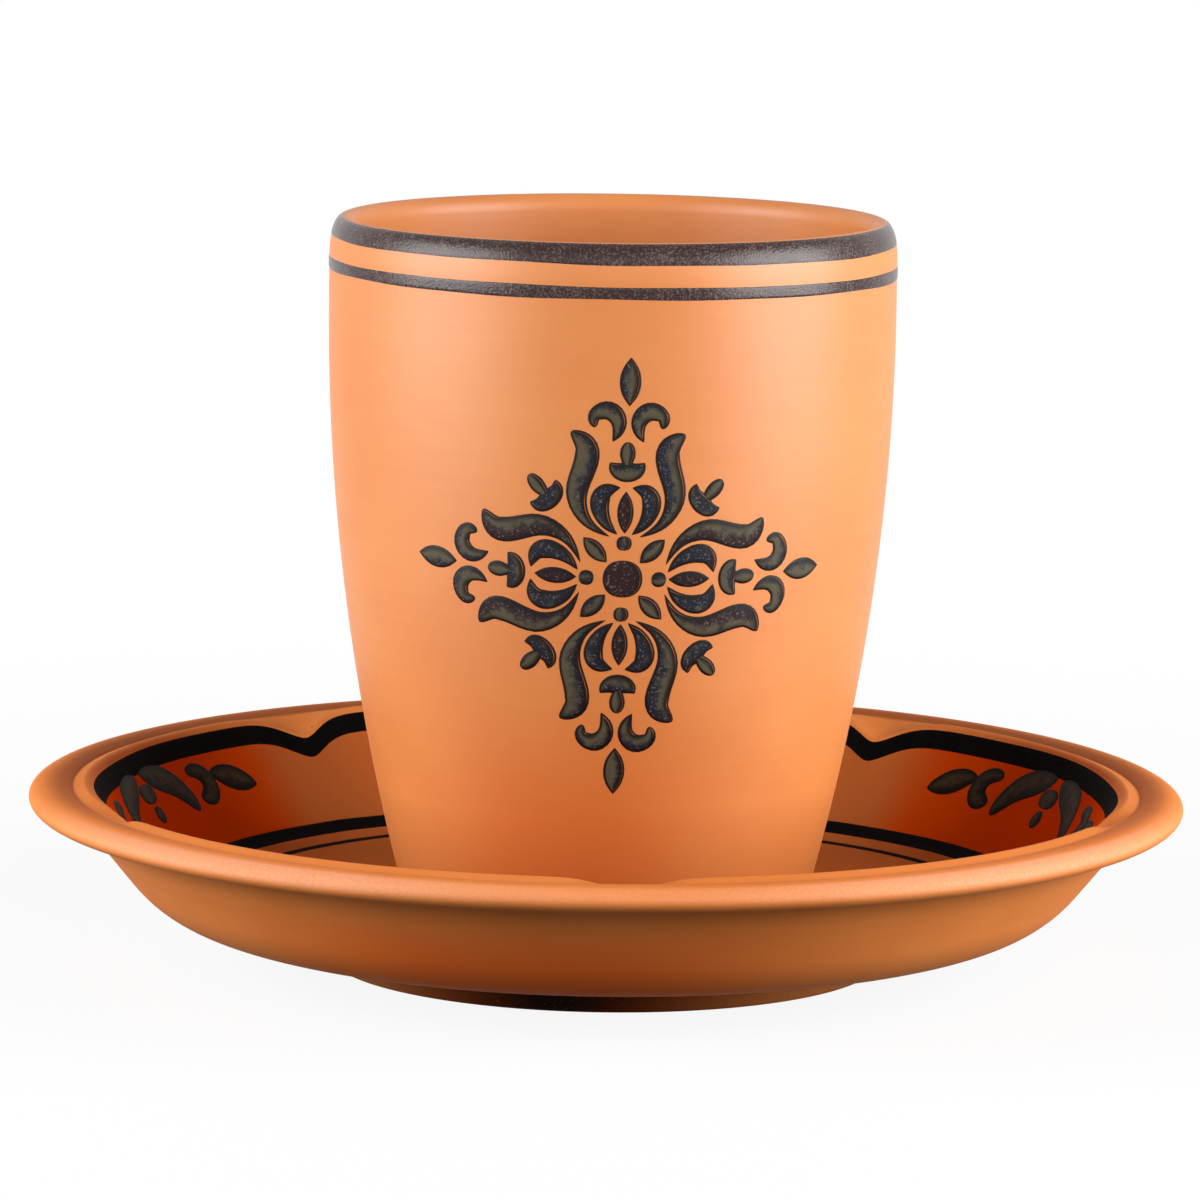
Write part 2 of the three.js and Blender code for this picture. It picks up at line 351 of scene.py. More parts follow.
def saucer_outline(saucer, cusp):
    """From the middle of the underside round the foot ring, up the outside, round the rolled lip,
    over channel and brink, and down the well to its middle. Only brink and wall move with cusp."""
    underside = saucer.well_floor - saucer.base
    lip_width, lip_height = saucer.lip_width / 2, saucer.lip_thickness / 2
    lip = at(saucer.radius - lip_width, saucer.lip_top - lip_height)
    lip_under, lip_top = lip - at(0, lip_height), lip + at(0, lip_height)
    channel = at(saucer.radius - saucer.channel_inset, saucer.lip_top - saucer.channel_depth)
    flank = at(saucer.radius - saucer.channel_inset + saucer.channel_flank, saucer.lip_top)
    brink = brink_at(saucer, cusp)
    brink_top = brink + at(saucer.brink_round, 0)

    corner = well_corner(saucer)
    wall_top = toward(brink, corner, saucer.brink_round)
    wall_foot = toward(corner, brink, saucer.well_corner)
    floor_edge = corner - at(saucer.well_corner, 0)

    rise = brink_at(saucer, 0) - corner
    slope = np.arctan2(rise[0, 1], rise[0, 0])
    belly = corner + at(saucer.wall * np.tan(slope / 2), -saucer.wall)
    flare = at(saucer.radius - saucer.flare_inset, lip_under[0, 1])
    flare_foot = toward(flare, belly, saucer.flare_round)
    foot_top = at(saucer.foot_radius + saucer.foot_fillet, underside)
    belly_start = toward(belly, foot_top, saucer.belly_round)
    belly_end = toward(belly, flare, saucer.belly_round)

    foot_inner = saucer.foot_radius - saucer.foot_width
    inner_edge = at(foot_inner, saucer.foot_round)
    ring_inner = at(foot_inner + saucer.foot_round, 0)
    ring_outer = at(saucer.foot_radius - saucer.foot_round, 0)
    outer_edge = at(saucer.foot_radius, saucer.foot_round)
    fillet = at(saucer.foot_radius, underside - saucer.foot_fillet)
    return outline(
        line(at(0, underside), at(foot_inner, underside), 10),
        line(at(foot_inner, underside), inner_edge, 3),
        bend(inner_edge, at(foot_inner, 0), ring_inner, 4),
        line(ring_inner, ring_outer, 3),
        bend(ring_outer, at(saucer.foot_radius, 0), outer_edge, 4),
        line(outer_edge, fillet, 3),
        bend(fillet, at(saucer.foot_radius, underside), foot_top, 5),
        line(foot_top, belly_start, 10),
        bend(belly_start, belly, belly_end, 14),
        line(belly_end, flare_foot, 8),
        bend(flare_foot, flare, lip_under, 12),
        arc(lip, lip_width, lip_height, -pi / 2, pi / 2, 22),
        bend(lip_top, flank, channel, 9),
        line(channel, brink_top, 7),
        bend(brink_top, brink, wall_top, 9),
        line(wall_top, wall_foot, 16),
        bend(wall_foot, corner, floor_edge, 16),
        line(floor_edge, at(MM, saucer.well_floor), 12),
    )


# Painted highlight on the lip: how much of it there is at the front, and how much more between front and
# sides
HIGHLIGHT_FRONT = 0.4
HIGHLIGHT_BETWEEN = 0.7

# Painted shade on the inner side of the lip: how much at the front, and how much more at the sides and
# again at the back
LIP_SHADE_FRONT = 0.26
LIP_SHADE_SIDES = 0.44
LIP_SHADE_BACK = 0.3

# How much of the painted shade low on the outside goes all the way round
LOW_SHADE_LEAST = 0.5


def lip_light_and_shade_at(saucer, rings, bearings):
    """Painted light and shade on the lip: up to one on its outer side, a painted highlight, most so
    between front and sides, and down to minus one on its inner side, painted shade: most at the
    back, less at the sides and least at the front, and past the channel as little as there."""
    inset = saucer.radius - np.linalg.norm(rings[..., :2], axis=-1)
    low = saucer.lip_top - saucer.lip_thickness * 3 / 4
    above = np.clip((rings[..., 2] - low) / (saucer.lip_thickness / 3), 0, 1)
    painted_highlight = np.clip((saucer.lip_width / 2 - inset) / (saucer.lip_width / 5), 0, 1)
    front = np.sqrt(np.clip(np.cos(bearings), 0, 1))
    highlight_by_bearing = (HIGHLIGHT_FRONT + HIGHLIGHT_BETWEEN * np.sin(2 * bearings) ** 2) * front
    painted_lip_shade = np.clip((inset - saucer.lip_width / 4) / (saucer.lip_width / 2), 0, 1)
    outside = (saucer.channel_inset + saucer.channel_flank / 3 - inset) / (saucer.channel_flank / 2)
    sides = np.clip(1 - np.cos(bearings), 0, 1)
    back = np.clip(-np.cos(bearings), 0, 1)
    reach = LIP_SHADE_FRONT + (LIP_SHADE_SIDES * sides + LIP_SHADE_BACK * back) * np.clip(outside, 0, 1)
    return above * (painted_highlight * highlight_by_bearing - painted_lip_shade * reach)


def low_shade_at(saucer, rings, bearings):
    """How much painted shade lies low on the outside: one at a bearing, falling away beside it to the
    least, as e to the power of twice the cosine of the distance, less two, over the square of the spread.
    Past the widest ring it is nothing."""
    distance = bearings - saucer.low_shade_bearing
    low_shade = np.exp((2 * np.cos(distance) - 2) / saucer.low_shade_spread**2)
    low_shade = LOW_SHADE_LEAST + (1 - LOW_SHADE_LEAST) * low_shade
    outside = np.arange(len(rings)) <= np.argmax(np.linalg.norm(rings[:, 0, :2], axis=-1))
    return low_shade * outside[:, None]


def wall_length(saucer, cusp):
    """Length of the straight wall from the brink's corner to where the well rounds into its floor."""
    way = brink_at(saucer, cusp) - well_corner(saucer)
    return np.linalg.norm(way, axis=-1) - saucer.well_corner


def well_point(saucer, down, cusp):
    """The well's surface at a distance down from the brink's corner: straight down the wall, then
    along the parabola into the floor at its mean pace, then level towards the middle."""
    shape = np.broadcast_shapes(np.shape(down), np.shape(cusp))
    down = np.broadcast_to(down, shape).ravel()
    cusp = np.broadcast_to(cusp, shape).ravel()
    brink, corner = brink_at(saucer, cusp), well_corner(saucer)
    wall_foot = toward(corner, brink, saucer.well_corner)
    floor_edge = corner - at(saucer.well_corner, 0)
    straight = wall_length(saucer, cusp)
    chord = np.linalg.norm(wall_foot - floor_edge, axis=-1)
    rounding = (2 * chord + 2 * saucer.well_corner) / 3
    t = np.clip((down - straight) / rounding, 0, 1)[:, None]
    rounded = (1 - t) ** 2 * wall_foot + 2 * t * (1 - t) * corner + t**2 * floor_edge
    level = np.clip(down - straight - rounding, 0, None)
    on_wall = (down <= straight)[:, None]
    points = np.where(on_wall, toward(brink, corner, down[:, None]), rounded - at(level, 0))
    return points.reshape(shape + (2,))


def well_down(saucer, radius, cusp):
    """How far down from the brink's corner the well has a radius: on its rounding the share t solves
    foot - 2t(foot - corner) + t^2(foot - 2 corner + edge) = radius, and past the rounding the way
    is level."""
    brink, corner = brink_at(saucer, cusp), well_corner(saucer)
    foot = toward(corner, brink, saucer.well_corner)
    edge = corner - at(saucer.well_corner, 0)
    square = foot[:, 0] - 2 * corner[:, 0] + edge[:, 0]
    slope = 2 * (corner[:, 0] - foot[:, 0])
    rest = foot[:, 0] - radius
    t = (-slope - np.sqrt(np.clip(slope**2 - 4 * square * rest, 0, None))) / (2 * square)
    rounding = (2 * np.linalg.norm(foot - edge, axis=-1) + 2 * saucer.well_corner) / 3
    level = np.clip(edge[:, 0] - radius, 0, None)
    return wall_length(saucer, cusp) + np.where(level > 0, 1, t) * rounding + level


# Meshes

def turned(rings, bearings):
    """Carries an outline round the axis: radius times sine and minus cosine of the bearing."""
    radius, height = np.broadcast_to(rings, (len(rings), len(bearings), 2)).transpose(2, 0, 1)
    return np.stack([radius * np.sin(bearings), -radius * np.cos(bearings), height], axis=-1)


def grid_quads(rings, around, closed):
    """Faces between neighbouring rings of points, each ring closed on itself; with closed the last
    ring also joins the first."""
    ring = np.arange(rings if closed else rings - 1)[:, None]
    step = np.arange(around)
    beside, above = (step + 1) % around, (ring + 1) % rings
    corners = [ring * around + step, ring * around + beside, above * around + beside, above * around + step]
    return np.stack(corners, axis=-1).reshape(-1, 4)


def cap_triangles(rings, around):
    """Fans that close the first and the last ring onto two poles, which follow the rings."""
    step = np.arange(around)
    beside, last, pole = (step + 1) % around, (rings - 1) * around, rings * around
    first_fan = np.stack([np.full(around, pole), beside, step], axis=-1)
    last_fan = np.stack([np.full(around, pole + 1), last + step, last + beside], axis=-1)
    return np.concatenate([first_fan, last_fan])


def mesh_piece(name, points, quads, triangles=np.empty((0, 3), int), marks=None, sharp=180):
    """A mesh object at the origin from points, faces and values marked on the points. Edges that
    turn by more than the sharp angle, in degrees, stay crisp."""
    points = np.ascontiguousarray(points, dtype=np.float32).reshape(-1, 3)
    if not np.isfinite(points).all():
        raise RuntimeError(f"{name} has a point that is nowhere")
    mesh = bpy.data.meshes.new(name)
    mesh.vertices.add(len(points))
    mesh.vertices.foreach_set("co", points.ravel())
    corners = np.concatenate([quads.ravel(), triangles.ravel()]).astype(np.int32)
    mesh.loops.add(len(corners))
    mesh.loops.foreach_set("vertex_index", corners)
    starts = np.concatenate([np.arange(len(quads)) * 4, quads.size + np.arange(len(triangles)) * 3])
    mesh.polygons.add(len(starts))
    mesh.polygons.foreach_set("loop_start", starts.astype(np.int32))
    mesh.update(calc_edges=True)
    mesh.shade_smooth()
    mesh.set_sharp_from_angle(angle=radians(sharp))
    for mark, values in (marks or {}).items():
        layer = mesh.attributes.new(mark, "FLOAT", "POINT")
        layer.data.foreach_set("value", np.ascontiguousarray(values, dtype=np.float32).ravel())
    if mesh.validate():
        raise RuntimeError(f"{name} has faces that do not hold together")
    piece = bpy.data.objects.new(name, mesh)
    bpy.context.scene.collection.objects.link(piece)
    return piece


def shell(name, rings, marks=None):
    """A closed body of rings: its first and last ring close onto the axis at their own height, where
    values marked on the rings are nothing."""
    count, around = rings.shape[:2]
    poles = rings[[0, -1]].mean(axis=1)
    points = np.concatenate([rings.reshape(-1, 3), poles])
    quads, caps = grid_quads(count, around, False), cap_triangles(count, around)
    marks = {mark: np.append(values, (0, 0)) for mark, values in (marks or {}).items()}
    return mesh_piece(name, points, quads, caps, marks, sharp=38)


def paint_section(surface, thickness, sunk):
    """The section of a painted band from points along the surface under it: over the top it stands
    proud by the thickness times 1 - (2s-1)^8, and it comes back under the surface."""
    along = np.gradient(surface, axis=0)
    normal = np.stack([along[..., 1], -along[..., 0]], axis=-1)
    normal /= np.linalg.norm(normal, axis=-1, keepdims=True)
    share = np.linspace(-1, 1, len(surface))[:, None, None]
    top = surface + normal * thickness * (1 - share**8)
    return np.concatenate([top, (surface - normal * sunk)[::-1]])


def hoops(name, sections, bearings, marks=None):
    """Painted hoops in one mesh, each with its section closed on itself and carried round the axis."""
    points = [turned(section, bearings) for section in sections]
    quads, offset = [], 0
    for hoop in points:
        quads.append(grid_quads(len(hoop), len(bearings), True) + offset)
        offset += hoop[..., 0].size
    return mesh_piece(name, np.concatenate(points), np.concatenate(quads), marks=marks, sharp=60)


def brushed(bearings, reach, *waves):
    """The slight waver of a brushed edge: sines of a few whole waves round the piece."""
    phases = np.array(waves)[:, None]
    return reach * np.sin(phases * bearings + phases**2).mean(axis=0)


# Petals

@dataclass
class Petal:
    """One stroke of the ornament: six places along its stem, each as across, along and half width in
    millimetres, the shares of olive and of maroon in its paint, and whether it has a mirror image."""

    stem: tuple
    olive: float = 0.5
    ember: float = 0.0
    mirrored: bool = False


STEM_POINTS = 6
ROUND = (0.5, 0.83, 0.98, 0.98, 0.83, 0.5)
LENS = (0.0, 0.64, 0.96, 0.96, 0.64, 0.0)
BUD = (0.5, 0.75, 0.97, 1.0, 0.8, 0.4)


def straight(first, last, half_width, form):
    """Stem of a stroke that lies on the middle line, with half widths that follow a form."""
    places = np.linspace(first, last, STEM_POINTS)
    return tuple((0.0, place, half_width * share) for place, share in zip(places, form))


# One arm of the medallion, from its middle outwards
ARM = (
    Petal(straight(3.75, 5.65, 0.86, ROUND), olive=0.45),
    Petal(straight(6.0, 11.5, 0.93, LENS), olive=0.0, ember=1.0),
    Petal(((0.95, 5.85, 0.03), (2.3, 7.1, 0.58), (3.15, 8.65, 0.97),
           (3.35, 10.25, 1.14), (2.55, 11.5, 0.86), (0.8, 12.0, 0.1)), olive=0.2, mirrored=True),
    Petal(((1.95, 5.55, 0.03), (4.95, 7.4, 0.6), (6.4, 10.7, 1.24),
           (5.7, 14.0, 1.45), (5.4, 17.0, 1.42), (7.55, 18.95, 0.6)), olive=0.5, ember=0.9, mirrored=True),
    Petal(((-2.25, 15.2, 0.12), (-1.6, 14.5, 0.76), (-0.6, 14.05, 1.1),
           (0.6, 14.05, 1.1), (1.6, 14.5, 0.76), (2.3, 15.25, 0.12)), olive=0.45),
    Petal(straight(14.8, 17.95, 0.88, BUD), olive=0.85),
    Petal(((2.05, 17.95, 0.05), (1.4, 19.3, 0.62), (1.45, 20.9, 1.0),
           (2.85, 21.95, 1.08), (4.5, 21.2, 0.78), (4.4, 19.7, 0.4)), olive=0.6, mirrored=True),
    Petal(straight(22.6, 28.9, 1.3, LENS), olive=0.6),
)

# What stands between two arms, along the diagonal
DIAGONAL = (
    Petal(straight(3.05, 7.45, 0.95, LENS), olive=0.65),
    Petal(((-2.3, 15.4, 0.12), (-1.65, 14.5, 0.78), (-0.6, 14.1, 1.08),
           (0.6, 14.1, 1.08), (1.65, 14.5, 0.78), (2.3, 15.4, 0.12)), olive=0.25),
    Petal(straight(14.7, 18.2, 0.84, BUD), olive=0.7),
)

# How far the paint of the medallion has slipped to the left of its outline and below it
PAINT_SLIP = (-0.32, -0.14)

# How far the outline lies outside the painted form, in millimetres
OUTLINE_REACH = 0.14

DISC = Petal(straight(-2.45, 2.45, 2.45, ROUND), olive=0.0, ember=1.0)

# A tulip that hangs from the border into a lobe: across is along the wall, along is down it
TULIP = (
    Petal(straight(5.4, 8.5, 2.5, ROUND), olive=0.55),
    Petal(straight(8.9, 11.6, 1.3, BUD), olive=0.4),
    Petal(((0.9, 3.9, 0.7), (4.0, 4.9, 1.8), (7.2, 6.0, 2.15),
           (9.7, 7.7, 1.95), (11.4, 9.9, 1.4), (12.2, 11.7, 0.7)), olive=0.5, mirrored=True),
    Petal(((13.6, 5.9, 0.7), (16.0, 6.1, 1.2), (17.5, 7.3, 1.6),
           (17.6, 8.9, 1.7), (16.4, 10.0, 1.4), (14.2, 10.2, 0.7)), olive=0.5, mirrored=True),
    Petal(((18.9, 6.9, 0.4), (20.8, 7.3, 1.3), (22.7, 7.9, 1.8),
           (24.5, 8.6, 1.75), (26.2, 9.2, 1.2), (27.7, 9.8, 0.3)), olive=0.6, mirrored=True),
)


def placed(petals, angle, ember=1.0, hand=1.0):
    """Petals with their mirror images, turned clockwise about the middle, as arrays of stems and of
    olive, maroon and which side of the stem faces out; a hand of minus one mirrors the whole."""
    stems, facts = [], []
    spin = np.array([[cos(angle), -sin(angle), 0], [sin(angle), cos(angle), 0], [0, 0, 1]])
    for petal in petals:
        for flip in (hand, -hand) if petal.mirrored else (hand,):
            stems.append(np.array(petal.stem) * (flip, 1.0, 1.0) @ spin)
            share = petal.ember if petal.olive == 0 else petal.ember * ember
            facts.append((petal.olive, share, -flip))
    return np.array(stems) * MM, np.array(facts)


def stem_weights(shares_along):
    """Weights of the stem points at shares of a stem: a curve through all of them, each piece a cubic,
    with slopes that let the bend run on evenly from piece to piece and end at nothing."""
    place = shares_along * (STEM_POINTS - 1)
    piece = np.minimum(place.astype(int), STEM_POINTS - 2)
    t = place - piece
    eye, after, before = (np.eye(STEM_POINTS, k=shift) for shift in (0, 1, -1))
    ends = np.diag([1.0, *[0.0] * (STEM_POINTS - 2), -1.0])
    slope = np.linalg.solve(4 * eye - 2 * abs(ends) + after + before, 3 * (after - before - ends))
    t = t[:, None]
    return (
        (2 * t**3 - 3 * t**2 + 1) * eye[piece]
        + (t**3 - 2 * t**2 + t) * slope[piece]
        + (3 * t**2 - 2 * t**3) * eye[piece + 1]
        + (t**3 - t**2) * slope[piece + 1]
    )


def strokes(name, stems, facts, surface, relief, slipped=(0.0, 0.0)):
    """Petals as flattened tubes along their stems, with the stem's half width rounded off at both ends
    by the root of one minus the tenth power of the place; round the tube a point lies across by the
    cosine and proud by the sine, and surface(across, along, proud) lays it on the piece below. Points
    are marked with their distance from the outline and from the paint, which has slipped against it."""
    around = np.arange(PETAL_AROUND) / PETAL_AROUND * FULL_TURN
    t = (1 - np.cos(np.linspace(0, pi, PETAL_STEPS + 2))) / 2
    stem = np.einsum("tk,pkc->ptc", stem_weights(t), stems)
    spine = stem[..., :2]
    along = np.gradient(spine, t, axis=1)
    left = np.stack([-along[..., 1], along[..., 0]], axis=-1)
    left /= np.linalg.norm(left, axis=-1, keepdims=True)

    width = (np.clip(stem[..., 2], 0, None) + OUTLINE_REACH * MM) * np.sqrt(1 - (2 * t - 1) ** 10)
    proud = relief * (width / width.max(axis=1, keepdims=True)) ** 0.6
    flat = spine[:, :, None] + left[:, :, None] * (width[..., None] * np.cos(around))[..., None]
    points = surface(flat[..., 0], flat[..., 1], proud[..., None] * np.sin(around))

    rings = points[:, 1:-1]
    poles = points[:, [0, -1], 0]
    count = len(stems)
    each = PETAL_STEPS * PETAL_AROUND + 2
    body = np.concatenate([rings.reshape(count, -1, 3), poles], axis=1)
    offsets = (np.arange(count) * each)[:, None, None]
    quads = (grid_quads(PETAL_STEPS, PETAL_AROUND, False) + offsets).reshape(-1, 4)
    caps = (cap_triangles(PETAL_STEPS, PETAL_AROUND) + offsets).reshape(-1, 3)

    olive, ember, out = facts.T[:, :, None]
    side = np.broadcast_to(np.cos(around) * out[..., None], rings.shape[:3])
    edge = width[:, 1:-1, None] * (1 - np.abs(np.cos(around))) / MM
    paint = edge + (left[:, 1:-1] @ np.array(slipped))[..., None] * np.sign(np.cos(around))
    ends = np.zeros((count, 2))
    marks = {"olive": np.broadcast_to(olive, (count, each)), "ember": np.broadcast_to(ember, (count, each))}
    for mark, values in (("side", side), ("edge", edge), ("paint", paint)):
        marks[mark] = np.concatenate([values.reshape(count, -1), ends], axis=1)
    return mesh_piece(name, body, quads, caps, marks)


# Finishes

class Nodes:
    """A node tree in the making, of a material or a room: it starts empty, and nodes are added and
    joined."""

    def __init__(self, owner):
        owner.use_nodes = True
        self.tree = owner.node_tree
        self.tree.nodes.clear()

    def node(self, kind, sockets=None, **settings):
        """Adds a node with its settings, and joins or sets its sockets by name or number."""
        node = self.tree.nodes.new(kind)
        for setting, value in settings.items():
            setattr(node, setting, value)
        for socket, value in (sockets or {}).items():
            self.feed(node.inputs[socket], value)
        return node

    def feed(self, socket, value):
        """Joins another node to a socket, or sets the socket's own value."""
        if isinstance(value, bpy.types.NodeSocket):
            self.tree.links.new(value, socket)
        elif hasattr(value, "__len__") and len(value) == 3 and socket.type == "RGBA":
            socket.default_value = (*value, 1.0)
        else:
            socket.default_value = value

    def sum(self, first, second, operation="ADD"):
        """Two values added, or joined by another operation."""
        return self.node("ShaderNodeMath", {0: first, 1: second}, operation=operation).outputs[0]

    def times(self, first, second):
        """Two values multiplied."""
        return self.sum(first, second, "MULTIPLY")

    def step(self, value, low, high, start=0.0, end=1.0):
        """A soft step of a value from start at low to end at high."""
        sockets = {"Value": value, "From Min": low, "From Max": high, "To Min": start, "To Max": end}
        return self.node("ShaderNodeMapRange", sockets, interpolation_type="SMOOTHSTEP").outputs[0]

    def mix(self, share, first, second):
        """A share of the second colour over the first."""
        sockets = {0: share, 6: first, 7: second}
        return self.node("ShaderNodeMix", sockets, data_type="RGBA").outputs[2]


class Finish(Nodes):
    """A material in the making, whose nodes end in one surface shader with a constant gloss."""

    def __init__(self, name, gloss):
        self.material = bpy.data.materials.new(name)
        super().__init__(self.material)
        self.shader = self.node("ShaderNodeBsdfPrincipled", {"Specular IOR Level": gloss})
        self.node("ShaderNodeOutputMaterial", {"Surface": self.shader.outputs[0]})
        self.place = self.node("ShaderNodeTexCoord").outputs["Object"]

    def noise(self, size, detail=2.0, place=None):
        """Clouds of a size in millimetres."""
        sockets = {"Vector": place or self.place, "Scale": 1 / (size * MM), "Detail": detail}
        return self.node("ShaderNodeTexNoise", sockets).outputs[0]

    def wheel_lines(self, size):
        """Clouds drawn out into level rings of a size in millimetres, as left by the wheel."""
        squeeze = self.node("ShaderNodeMapping", {"Vector": self.place, "Scale": (0.04, 0.04, 1.0)})
        return self.noise(size, 3.0, squeeze.outputs[0])

    def specks(self, spacing, radius):
        """One where a speck lies, with specks a spacing apart and of a radius, in millimetres."""
        sockets = {"Vector": self.place, "Scale": 1 / (spacing * MM)}
        distance = self.node("ShaderNodeTexVoronoi", sockets).outputs["Distance"]
        return self.step(distance, radius / spacing, 0.5 * radius / spacing)

    def mark(self, name):
        """A value marked on the points of the piece."""
        return self.node("ShaderNodeAttribute", attribute_name=name).outputs["Fac"]

    def bump(self, height, depth):
        """Dents the surface by a height value times a depth in millimetres."""
        sockets = {"Height": height, "Strength": 1.0, "Distance": depth * MM}
        self.feed(self.shader.inputs["Normal"], self.node("ShaderNodeBump", sockets).outputs[0])

    def done(self, colour, roughness):
        """Joins colour and roughness to the shader and hands the material over."""
        self.feed(self.shader.inputs["Base Color"], colour)
        self.feed(self.shader.inputs["Roughness"], roughness)
        return self.material


def clay_finish(name, tones, red_shade, painted_light_and_shade=None, *, gloss, matt):
    """Satin terracotta: cloudy firing, level wheel lines, fine grain and a few iron specks, with painted
    shade as a redder colour low down where its mark says and, on the saucer, a painted highlight on
    the outer side of the lip, painted shade on its inner side and near black painted shade on the foot
    ring."""
    light, deep, iron = tones
    clay = Finish(name, gloss)
    clouds = clay.noise(26, 3.0)
    lines = clay.wheel_lines(1.1)
    grain = clay.noise(0.35, 2.0)
    tone = clay.sum(clay.times(clouds, 0.8), clay.times(lines, 0.2))
    colour = clay.mix(clay.step(tone, 0.3, 0.7), light, deep)
    # Painted shade: redder clay low down, following the mark of the shade
    red, red_shade_top, red_shade_full = red_shade
    low_shade = clay.mark("low_shade")
    height = clay.node("ShaderNodeSeparateXYZ", {0: clay.place}).outputs["Z"]
    red_shaded = clay.times(clay.step(low_shade, LOW_SHADE_LEAST, 0.98), clay.step(height, red_shade_top, red_shade_full))
    colour = clay.mix(red_shaded, colour, red)
    if painted_light_and_shade is not None:
        painted_highlight, painted_lip_shade, painted_foot_shade, foot_shade_top, foot_shade_full = painted_light_and_shade
        lip_light_and_shade = clay.mark("lip_light_and_shade")
        # Painted highlight on the outer side of the lip, speckled by the grain
        highlight_share = clay.times(clay.step(lip_light_and_shade, 0.0, 1.0), clay.step(grain, 0.35, 0.65, 0.6, 1.0))
        colour = clay.mix(highlight_share, colour, painted_highlight)
        # Painted shade on the inner side of the lip
        colour = clay.mix(clay.step(lip_light_and_shade, 0.0, -1.0), colour, painted_lip_shade)
        # Painted shade on the foot ring
        colour = clay.mix(clay.times(low_shade, clay.step(height, foot_shade_top, foot_shade_full)), colour, painted_foot_shade)
    colour = clay.mix(clay.step(grain, 0.62, 0.74, 0.0, 0.16), colour, deep)
    colour = clay.mix(clay.times(clay.specks(12, 0.25), 0.6), colour, iron)
    relief = clay.sum(clay.times(lines, 0.6), clay.times(grain, 0.4))
    clay.bump(relief, 0.014)
    return clay.done(colour, clay.step(grain, 0.3, 0.7, matt, matt + 0.08))


def wash_finish(name, bare, iron_red_and_shade, *, gloss, matt):
    """A thin matt wash: iron red where it is marked, partly painted shade, cloudy at its edges, over a
    darker clay colour that is painted shade.
    """
    wash = Finish(name, gloss)
    clouds = wash.noise(9, 3.0)
    grain = wash.noise(0.4, 2.0)
    reach = wash.sum(wash.mark("iron_red_and_shade"), wash.times(wash.sum(clouds, -0.5), 0.3))
    colour = wash.mix(wash.step(reach, 0.0, 1.0), bare, iron_red_and_shade)
    colour = wash.mix(wash.step(grain, 0.6, 0.74, 0.0, 0.2), colour, bare)
    wash.bump(grain, 0.02)
    return wash.done(colour, matt)


def slip_finish(name, dark, glint, *, share, gloss, matt):
    """Dark slip with a share of coarse grains that catch the light."""
    slip = Finish(name, gloss)
    grain = slip.noise(0.26, 1.0)
    clouds = slip.noise(4.0, 3.0)
    speck = slip.step(slip.sum(grain, slip.times(slip.sum(clouds, -0.5), 0.25)), 0.5, 0.68, 0.0, share)
    slip.bump(grain, 0.05)
    return slip.done(slip.mix(speck, dark, glint), slip.step(grain, 0.35, 0.65, matt, matt + 0.18))


def petal_finish(name, blue, olive, core, speck, line_colour, fringe, clay, *, gloss, rim):
    """Painted petals: olive along the outer side, blue or a maroon core along the inner one, with a
    ragged border between them, pale specks, a dark rim to the paint, bare clay where the paint has
    slipped off, and a dark outline with a thin fringe. The rim has its width in millimetres."""
    paint = Finish(name, gloss)
    clouds = paint.noise(1.3, 3.0)
    grain = paint.noise(0.3, 1.0)
    edge, reach = paint.mark("edge"), paint.mark("paint")
    side, share = paint.mark("side"), paint.mark("olive")
    ragged = paint.sum(paint.times(paint.sum(clouds, -0.5), 2.2), paint.times(side, 0.9))
    lean = paint.sum(ragged, paint.times(paint.sum(share, -0.5), 2.4))
    outer = paint.step(lean, -0.5, 0.5)
    inner = paint.sum(1.0, outer, "SUBTRACT")
    colour = paint.mix(outer, blue, olive)
    colour = paint.mix(paint.times(inner, paint.mark("ember")), colour, core)
    pale = paint.times(paint.step(grain, 0.58, 0.68, 0.0, 0.3), paint.sum(inner, 0.2))
    colour = paint.mix(pale, colour, speck)
    colour = paint.mix(paint.step(reach, 0.05, rim), line_colour, colour)
    colour = paint.mix(paint.step(reach, -0.06, 0.06), clay, colour)
    colour = paint.mix(paint.step(edge, 0.26, 0.36), line_colour, colour)
    colour = paint.mix(paint.step(edge, 0.0, 0.1), fringe, colour)
    paint.bump(grain, 0.03)
    return paint.done(colour, paint.step(grain, 0.35, 0.65, 0.36, 0.5))


def hand_over(piece, material, body, slot, *nodes):
    """Gives a finished piece its material and its body, and hides the solids it stands for. The slot is not
    used.
    """
    piece.data.materials.append(material)
    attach(piece, body)
    if nodes:
        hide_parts(*nodes)
    return piece


# Operators

def even_bearings(count):
    """Bearings evenly round the axis."""
    return np.arange(count) / count * FULL_TURN


